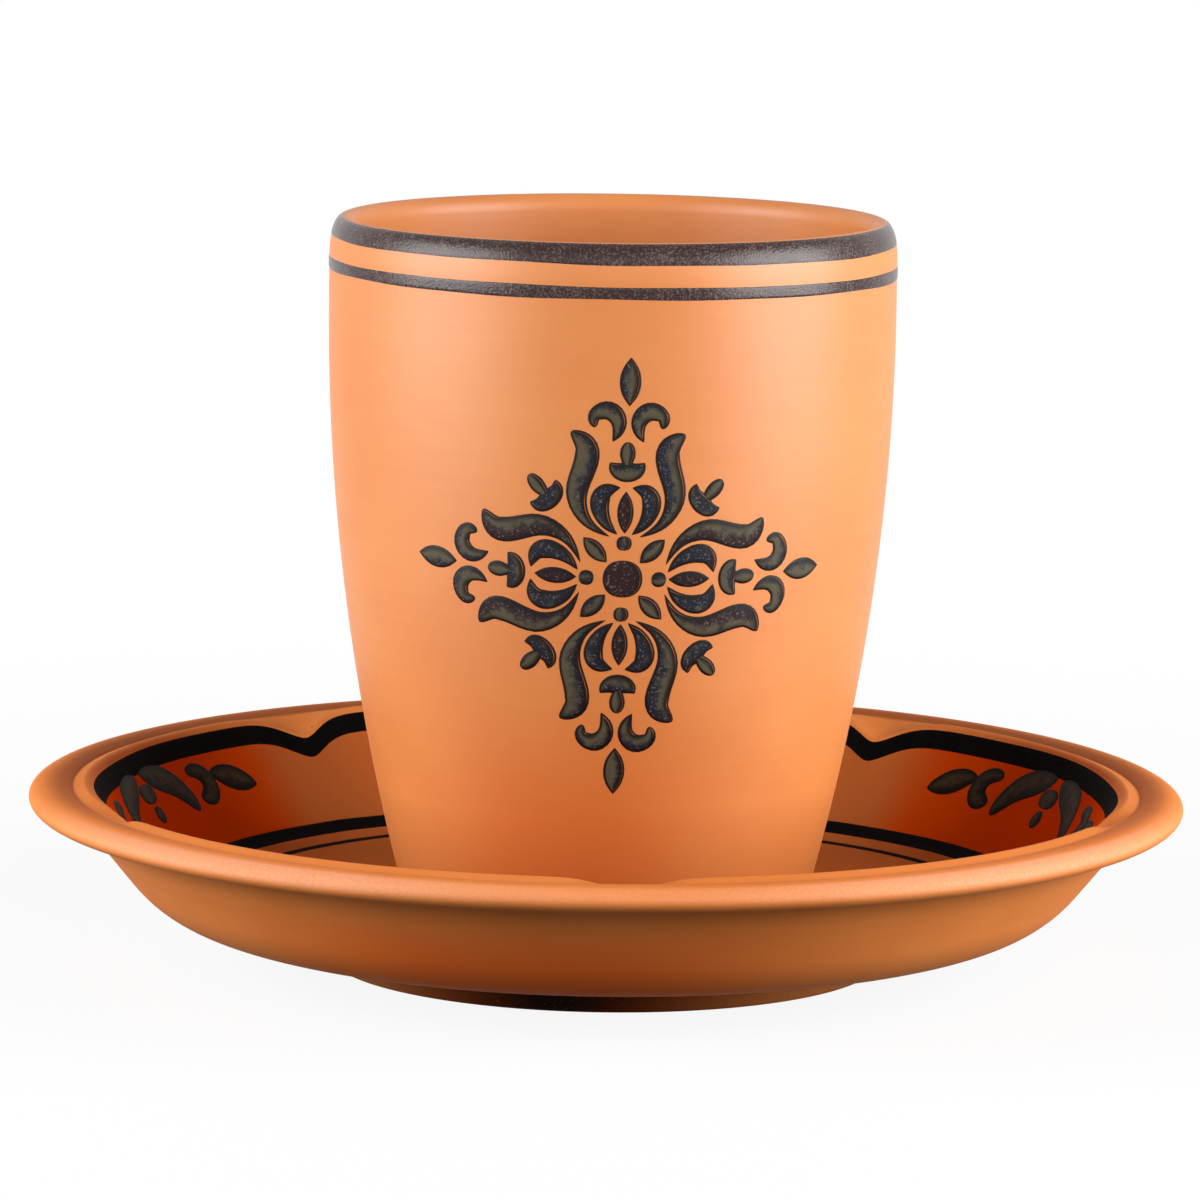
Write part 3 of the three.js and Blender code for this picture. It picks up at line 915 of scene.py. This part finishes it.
class TEACUP_OT_saucer_body(bpy.types.Operator):
    """Turn the saucer's lobed body with its foot ring, rolled lip and well"""

    bl_idname = "teacup.saucer_body"
    bl_label = "Saucer body"

    def execute(self, context):
        saucer, colours = context.scene.teacup_saucer, context.scene.teacup_colours
        even = even_bearings(SAUCER_AROUND)
        bunched = even - CUSP_BUNCHING * np.sin(saucer.lobes * even) / saucer.lobes
        bearings = bunched - saucer.unevenness * np.sin(bunched)
        cusp = cusp_at(saucer, bearings)
        rings = turned(saucer_outline(saucer, cusp), bearings)
        # Marks for painted light and shade: a highlight and shade on the lip, and shade low on the outside
        low_shade = low_shade_at(saucer, rings, bearings)
        body = shell("saucer_body", rings, {"lip_light_and_shade": lip_light_and_shade_at(saucer, rings, bearings), "low_shade": low_shade})
        tones = (colours.saucer, colours.saucer_deep, colours.iron)
        red_shade = (colours.saucer_red_shaded, saucer.red_shade_top, saucer.red_shade_full)
        painted_light_and_shade = (colours.painted_highlight, colours.painted_lip_shade, colours.painted_foot_shade, saucer.foot_shade_top, saucer.foot_shade_full)
        clay = clay_finish("saucer terracotta", tones, red_shade, painted_light_and_shade, gloss=0.04, matt=0.6)
        hand_over(body, clay, "saucer", "saucer_clay", "saucer")
        return {"FINISHED"}


# How fast the red of the wash, partly painted shade, comes in beside a cusp, how far from it, and its share
# on the back lobe
RED_AND_SHADE_GAIN = 2.6
RED_AND_SHADE_LOSS = 0.3
RED_AND_SHADE_BACK = 0.3


class TEACUP_OT_saucer_wash(bpy.types.Operator):
    """Brush the thin wash over the wall of the well and over its floor as far as the cup; its darker colour
    is painted shade
    """

    bl_idname = "teacup.saucer_wash"
    bl_label = "Saucer wash"

    def execute(self, context):
        scene = context.scene
        saucer, paint, colours = scene.teacup_saucer, scene.teacup_paint, scene.teacup_colours
        bearings = even_bearings(SAUCER_AROUND * 2)
        cusp = cusp_at(saucer, bearings)
        top = paint.border_drop + paint.border_width / 2
        foot = well_down(saucer, paint.broad_ring_radius, cusp)
        end = well_down(saucer, paint.wash_end_radius, cusp)
        share = np.linspace(0, 1, WASH_ACROSS)[:, None]
        sections = []
        for first, last in ((top, foot), (foot, end)):
            surface = well_point(saucer, first + (last - first) * share, cusp)
            sections.append(paint_section(surface, paint.wash, 2 * paint.wash))
        iron_red_and_shade = np.zeros((2, *sections[0].shape[:2]))
        iron_red_and_shade[0] = self.iron_red_and_shade(saucer, bearings)
        wash = hoops("saucer_wash", sections, bearings, {"iron_red_and_shade": iron_red_and_shade})
        # Painted shade: the darker wash colour and, in part, its red
        finish = wash_finish("saucer wash", colours.wash, colours.iron_red_and_shade, gloss=0.02, matt=0.8)
        hand_over(wash, finish, "saucer", "saucer_clay")
        return {"FINISHED"}

    def iron_red_and_shade(self, saucer, bearings):
        """How red the wash is, as iron red wash and painted shade of the lobe's wall: a gain times the size
        of a sine of the bearing, which is nothing at the cusps, less a loss, cut off at nothing and at one
        round the middle of a lobe. The lobe at the back has a part of it."""
        even = lobe_bearing(saucer, bearings)
        iron_red_and_shade = RED_AND_SHADE_GAIN * np.abs(np.sin(saucer.lobes * even / 2)) - RED_AND_SHADE_LOSS
        back = np.cos(even) < np.cos(pi - pi / saucer.lobes)
        return np.clip(iron_red_and_shade, 0, 1) * np.where(back, RED_AND_SHADE_BACK, 1)


class TEACUP_OT_saucer_paint(bpy.types.Operator):
    """Paint the border along the brink and the two rings round the floor of the well"""

    bl_idname = "teacup.saucer_paint"
    bl_label = "Saucer border and rings"

    def execute(self, context):
        scene = context.scene
        saucer, paint, colours = scene.teacup_saucer, scene.teacup_paint, scene.teacup_colours
        bearings = even_bearings(SAUCER_AROUND * 2)
        cusp = cusp_at(saucer, bearings)
        waver = brushed(bearings, 0.18 * MM, 4, 9, 13)

        def band(middle, width):
            """Section of a band of a width, with its middle at a distance down from the brink."""
            down = middle + width * np.linspace(-0.5, 0.5, PAINT_ACROSS)[:, None]
            return paint_section(well_point(saucer, down, cusp), paint.slip, 2 * paint.slip)

        border = band(paint.border_drop + paint.border_width / 2 + waver, paint.border_width)
        broad = well_down(saucer, paint.broad_ring_radius, cusp)
        thin = well_down(saucer, paint.thin_ring_radius, cusp)
        rings = [band(broad, paint.broad_ring_width), band(thin, paint.thin_ring_width)]
        tones = (colours.border, colours.border_worn)
        slip = slip_finish("saucer border slip", *tones, share=0.6, gloss=0.02, matt=0.72)
        for name, sections in (("saucer_border", [border]), ("saucer_rings", rings)):
            hand_over(hoops(name, sections, bearings), slip, "saucer", "saucer_clay")
        return {"FINISHED"}


class TEACUP_OT_saucer_tulips(bpy.types.Operator):
    """Paint a hanging tulip with scrolls and leaves into each lobe of the well"""

    bl_idname = "teacup.saucer_tulips"
    bl_label = "Saucer tulips"

    def execute(self, context):
        scene = context.scene
        saucer, paint, colours = scene.teacup_saucer, scene.teacup_paint, scene.teacup_colours
        stems, facts = placed(TULIP, 0.0)
        lobes = (np.arange(saucer.lobes) + 0.5) * FULL_TURN / saucer.lobes
        width = paint.tulip_radius
        shifts = np.outer(lobes * width, (1, 0, 0))
        stems = (stems[None] + shifts[:, None, None]).reshape(-1, STEM_POINTS, 3)
        facts = np.tile(facts, (saucer.lobes, 1))

        def on_wall(across, along, proud):
            """Lays the flat sheet on the wall of the well: across gives the bearing, along the distance
            down from the brink, and proud goes square to the wall."""
            bearing = across / width
            cusp = cusp_at(saucer, bearing)
            step = 0.05 * MM
            way = well_point(saucer, along + step, cusp) - well_point(saucer, along - step, cusp)
            way /= np.linalg.norm(way, axis=-1, keepdims=True)
            point = well_point(saucer, along, cusp)
            lift = proud + paint.wash
            radius = point[..., 0] + lift * way[..., 1]
            height = point[..., 1] - lift * way[..., 0]
            return np.stack([radius * np.sin(bearing), -radius * np.cos(bearing), height], axis=-1)

        tulips = strokes("saucer_tulips", stems, facts, on_wall, paint.relief)
        finish = petal_finish(
            "saucer tulip slip", colours.tulip, colours.tulip_pale, colours.maroon, colours.tulip_pale,
            colours.line, colours.fringe, colours.iron_red_and_shade, gloss=0.02, rim=1.6,
        )
        hand_over(tulips, finish, "saucer", "saucer_clay")
        return {"FINISHED"}


class TEACUP_OT_cup_body(bpy.types.Operator):
    """Turn the cup's body with its foot ring, wall and rounded lip"""

    bl_idname = "teacup.cup_body"
    bl_label = "Cup body"

    def execute(self, context):
        scene = context.scene
        cup, saucer, colours = scene.teacup_cup, scene.teacup_saucer, scene.teacup_colours
        bearings = even_bearings(CUP_AROUND)
        rings = turned(cup_outline(cup) + at(0, cup.foot_level), bearings)
        # Painted shade: the cup's clay is redder low on its front
        body = shell("cup_body", rings, {"low_shade": low_shade_at(saucer, rings, bearings)})
        red_shade = (colours.red_shaded, cup.foot_level + cup.red_shade_top, cup.foot_level + cup.red_shade_full)
        tones = (colours.clay, colours.clay_deep, colours.iron)
        clay = clay_finish("cup terracotta", tones, red_shade, gloss=0.6, matt=0.42)
        hand_over(body, clay, "cup", "cup_clay", "cup")
        return {"FINISHED"}


class TEACUP_OT_cup_bands(bpy.types.Operator):
    """Paint the rim band and the thin band below it round the cup"""

    bl_idname = "teacup.cup_bands"
    bl_label = "Cup bands"

    def execute(self, context):
        scene = context.scene
        cup, paint, colours = scene.teacup_cup, scene.teacup_paint, scene.teacup_colours
        bearings = even_bearings(PAINT_AROUND)
        lip_foot = cup.height - cup.lip_height
        waver = brushed(bearings, 0.12 * MM, 3, 7, 12)
        lean = -paint.band_lean * np.sin(bearings)

        def section(lower, upper):
            """Section of a band between two heights above the foot."""
            heights = lower + (upper - lower) * np.linspace(0, 1, PAINT_ACROSS)[:, None]
            points = np.stack([cup_radius(cup, heights), heights + cup.foot_level], axis=-1)
            return paint_section(points, paint.slip, 2 * paint.slip)

        crown_end = lip_foot + cup.lip_height * sin(paint.rim_band_start)
        rim = section(cup.height - paint.rim_band_drop + lean + waver, np.full_like(waver, crown_end))
        thin_top = cup.height - paint.thin_band_drop + lean
        thin = section(thin_top - paint.thin_band_width - waver, thin_top + waver / 2)
        tones = (colours.band, colours.band_glint)
        slip = slip_finish("cup band slip", *tones, share=0.7, gloss=0.33, matt=0.16)
        for name, band in (("cup_rim_band", rim), ("cup_thin_band", thin)):
            hand_over(hoops(name, [band], bearings), slip, "cup", "cup_clay")
        return {"FINISHED"}


class TEACUP_OT_cup_medallion(bpy.types.Operator):
    """Paint the four-armed tulip medallion on the front of the cup"""

    bl_idname = "teacup.cup_medallion"
    bl_label = "Cup medallion"

    def execute(self, context):
        scene = context.scene
        cup, paint, colours = scene.teacup_cup, scene.teacup_paint, scene.teacup_colours
        tilt, quarter = paint.medallion_tilt, pi / 2
        groups = [placed((DISC,), tilt)]
        for arm in range(4):
            groups.append(placed(ARM, tilt + arm * quarter, ember=arm % 2))
            groups.append(placed(DIAGONAL, tilt + (arm + 0.5) * quarter, hand=1.0 if arm < 2 else -1.0))
        stems = np.concatenate([group[0] for group in groups])
        facts = np.concatenate([group[1] for group in groups])
        level = paint.medallion_level - cup.foot_level
        front = cup_radius(cup, level)
        slope = (cup_side(cup, level + MM) - cup_side(cup, level - MM)) / (2 * MM)
        reach = front * sqrt(1 + slope**2) / slope

        def on_cup(across, along, proud):
            """Wraps the flat sheet round the cone that touches the wall at the middle: distance from
            the tip of the cone gives the height, angle about the tip the bearing."""
            rise = np.hypot(across, reach + along) - reach
            turned_by = np.arctan2(across, reach + along) * reach
            bearing = (turned_by + paint.medallion_shift) / front
            radius = cup_radius(cup, level + rise) + proud
            height = paint.medallion_level + rise
            return np.stack([radius * np.sin(bearing), -radius * np.cos(bearing), height], axis=-1)

        medallion = strokes("cup_medallion", stems, facts, on_cup, paint.relief, PAINT_SLIP)
        finish = petal_finish(
            "cup petal slip", colours.navy, colours.olive, colours.maroon, colours.speck,
            colours.line, colours.fringe, colours.clay, gloss=0.15, rim=1.0,
        )
        hand_over(medallion, finish, "cup", "cup_clay")
        return {"FINISHED"}


# Where the camera stands and looks, in metres and degrees
CAMERA_PLACE = (-0.0413, -0.9191, 0.1844)
CAMERA_BEARING = 2.5
CAMERA_PITCH = 8.39
CAMERA_ROLL = 0.77

# Focal length and width of the picture behind the lens, in millimetres
CAMERA_LENS = 208.0
CAMERA_SENSOR = 36.0

# Soft boxes: name, place, width and height in metres, and power in watts
SOFT_BOXES = (
    ("left soft box", (-0.477, -0.150, 0.21), 0.45, 0.38, 4.2),
    ("right soft box", (0.462, -0.192, 0.195), 0.45, 0.38, 5.0),
    ("front soft box", (0.0, -1.25, 0.5), 2.4, 0.6, 5.1),
)
ROOM_LIGHT = 0.04

# The floor: its width, the light it throws back on the object, how much of it shows plain white under
# the object, and the distances in metres from which and to which that share grows to one
FLOOR_SIZE = 12.0
FLOOR_BOUNCE = 0.04
FLOOR_GLOW = 0.9
FLOOR_SHADOW_REACH = (0.08, 0.30)
WHITE = (1.0, 1.0, 1.0)


class TEACUP_OT_stage(bpy.types.Operator):
    """Set up the pale floor, the soft boxes, the white room and the camera"""

    bl_idname = "teacup.stage"
    bl_label = "Stage"

    def execute(self, context):
        scene = context.scene
        self.floor(scene)
        self.room(scene)
        for box in SOFT_BOXES:
            self.soft_box(scene, *box)
        self.camera(scene)
        scene.view_settings.view_transform = "Standard"
        return {"FINISHED"}

    def seen(self, nodes):
        """One for what the camera sees, also in a reflection or through glass."""
        rays = nodes.node("ShaderNodeLightPath").outputs
        total = rays["Is Camera Ray"]
        for name in ("Is Glossy Ray", "Is Transmission Ray"):
            total = nodes.sum(total, rays[name], "MAXIMUM")
        return total

    def floor(self, scene):
        """A level square that shows white and keeps the shadow of the saucer."""
        corners = np.array([(-1, -1, 0), (1, -1, 0), (1, 1, 0), (-1, 1, 0)]) * FLOOR_SIZE / 2
        floor = mesh_piece("floor", corners, np.array([[0, 1, 2, 3]]))
        material = bpy.data.materials.new("pale floor")
        nodes = Nodes(material)
        seen = self.seen(nodes)
        tone = nodes.mix(seen, (FLOOR_BOUNCE,) * 3, scene.teacup_colours.floor)
        matt = nodes.node("ShaderNodeBsdfDiffuse", {"Color": tone}).outputs[0]
        glow = nodes.node("ShaderNodeEmission", {"Color": WHITE}).outputs[0]
        place = nodes.node("ShaderNodeTexCoord").outputs["Object"]
        distance = nodes.node("ShaderNodeVectorMath", {0: place}, operation="LENGTH").outputs["Value"]
        share = nodes.times(seen, nodes.step(distance, *FLOOR_SHADOW_REACH, FLOOR_GLOW, 1.0))
        both = nodes.node("ShaderNodeMixShader", {0: share, 1: matt, 2: glow})
        nodes.node("ShaderNodeOutputMaterial", {"Surface": both.outputs[0]})
        floor.data.materials.append(material)

    def room(self, scene):
        """A room that lights softly and is white where it is seen."""
        scene.world = bpy.data.worlds.new("white room")
        nodes = Nodes(scene.world)
        soft = nodes.node("ShaderNodeBackground", {"Color": WHITE, "Strength": ROOM_LIGHT}).outputs[0]
        white = nodes.node("ShaderNodeBackground", {"Color": WHITE, "Strength": 1.0}).outputs[0]
        both = nodes.node("ShaderNodeMixShader", {0: self.seen(nodes), 1: soft, 2: white})
        nodes.node("ShaderNodeOutputWorld", {"Surface": both.outputs[0]})

    def soft_box(self, scene, name, place, width, height, power):
        """An upright rectangular lamp that faces the axis."""
        light = bpy.data.lights.new(name, "AREA")
        light.shape = "RECTANGLE"
        light.size, light.size_y, light.energy = width, height, power
        lamp = bpy.data.objects.new(name, light)
        lamp.location = place
        inward = Vector((-place[0], -place[1], 0.0))
        lamp.rotation_euler = inward.to_track_quat("-Z", "Y").to_euler()
        lamp.visible_camera = False
        scene.collection.objects.link(lamp)

    def camera(self, scene):
        """A long lens a little above the rim, turned and rolled as the picture was taken."""
        data = bpy.data.cameras.new("camera")
        data.lens, data.sensor_width = CAMERA_LENS, CAMERA_SENSOR
        data.clip_end = 2 * FLOOR_SIZE
        camera = bpy.data.objects.new("camera", data)
        turned_round = Matrix.Rotation(radians(-CAMERA_BEARING), 4, "Z")
        tipped = Matrix.Rotation(radians(90 - CAMERA_PITCH), 4, "X")
        rolled = Matrix.Rotation(radians(CAMERA_ROLL), 4, "Z")
        camera.matrix_world = Matrix.Translation(CAMERA_PLACE) @ turned_round @ tipped @ rolled
        scene.collection.objects.link(camera)
        scene.camera = camera


class TEACUP_PT_panel(bpy.types.Panel):
    """Lists the pieces of the tea cup"""

    bl_idname = "TEACUP_PT_panel"
    bl_label = "Tea cup"
    bl_space_type = "VIEW_3D"
    bl_region_type = "UI"
    bl_category = "Tea cup"

    def draw(self, context):
        for operator in OPERATORS:
            self.layout.operator(operator.bl_idname)
        for group in GROUPS:
            box = self.layout.box()
            settings = getattr(context.scene, group)
            for name in settings.__annotations__:
                box.prop(settings, name)


OPERATORS = (
    TEACUP_OT_saucer_body,
    TEACUP_OT_saucer_wash,
    TEACUP_OT_saucer_paint,
    TEACUP_OT_saucer_tulips,
    TEACUP_OT_cup_body,
    TEACUP_OT_cup_bands,
    TEACUP_OT_cup_medallion,
    TEACUP_OT_stage,
)
GROUPS = {
    "teacup_cup": TeacupCupSizes,
    "teacup_saucer": TeacupSaucerSizes,
    "teacup_paint": TeacupPaintSizes,
    "teacup_colours": TeacupColours,
}
CLASSES = (*GROUPS.values(), *OPERATORS, TEACUP_PT_panel)


def register():
    """Registers the classes and puts the settings on the scene."""
    for item in CLASSES:
        bpy.utils.register_class(item)
    for name, group in GROUPS.items():
        setattr(bpy.types.Scene, name, PointerProperty(type=group))


def unregister():
    """Takes the settings and the classes away again."""
    for name in GROUPS:
        delattr(bpy.types.Scene, name)
    for item in reversed(CLASSES):
        bpy.utils.unregister_class(item)


def main():
    register()
    bpy.ops.teacup.saucer_body()
    bpy.ops.teacup.saucer_wash()
    bpy.ops.teacup.saucer_paint()
    bpy.ops.teacup.saucer_tulips()
    bpy.ops.teacup.cup_body()
    bpy.ops.teacup.cup_bands()
    bpy.ops.teacup.cup_medallion()
    bpy.ops.teacup.stage()


if __name__ == "__main__":
    main()
